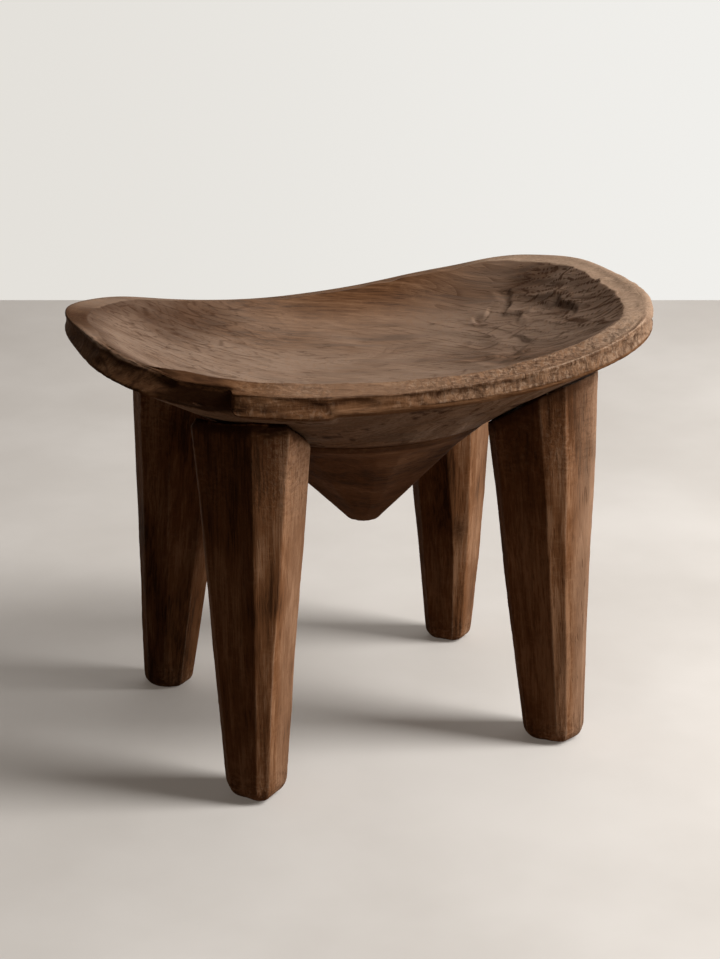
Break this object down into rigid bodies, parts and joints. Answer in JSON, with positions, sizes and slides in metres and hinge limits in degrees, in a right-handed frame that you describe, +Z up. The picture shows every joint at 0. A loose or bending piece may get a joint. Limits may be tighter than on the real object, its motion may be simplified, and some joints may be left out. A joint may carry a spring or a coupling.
{
  "type": "wooden stool",
  "caption": "Low hewn wooden stool: a dished oval seat with raised ends and a bevelled rim over a conical keel block, on stout faceted tapering legs.",
  "frame": {"origin": "on the floor, under the centre of the seat's plan", "axes": "+X along the seat's length, towards the end that stands a little higher; -Y towards the front; +Z up"},
  "size_m": [0.5148, 0.3328, 0.4037],
  "materials": {
    "stained_wood": "hewn, dark brown stain, dull wax",
    "plain_wood": "bare, unstained"
  },
  "bodies": {
    "root": {"seat": "stained_wood", "keel_block": "stained_wood", "leg_front_left": "stained_wood", "leg_front_right": "stained_wood", "leg_back_left": "stained_wood", "leg_back_right": "stained_wood", "wedge_front_left": "plain_wood", "wedge_front_right": "plain_wood", "wedge_back_left": "plain_wood", "wedge_back_right": "plain_wood", "keel_dowel_left": "plain_wood", "keel_dowel_right": "plain_wood"}
  },
  "joints": []
}
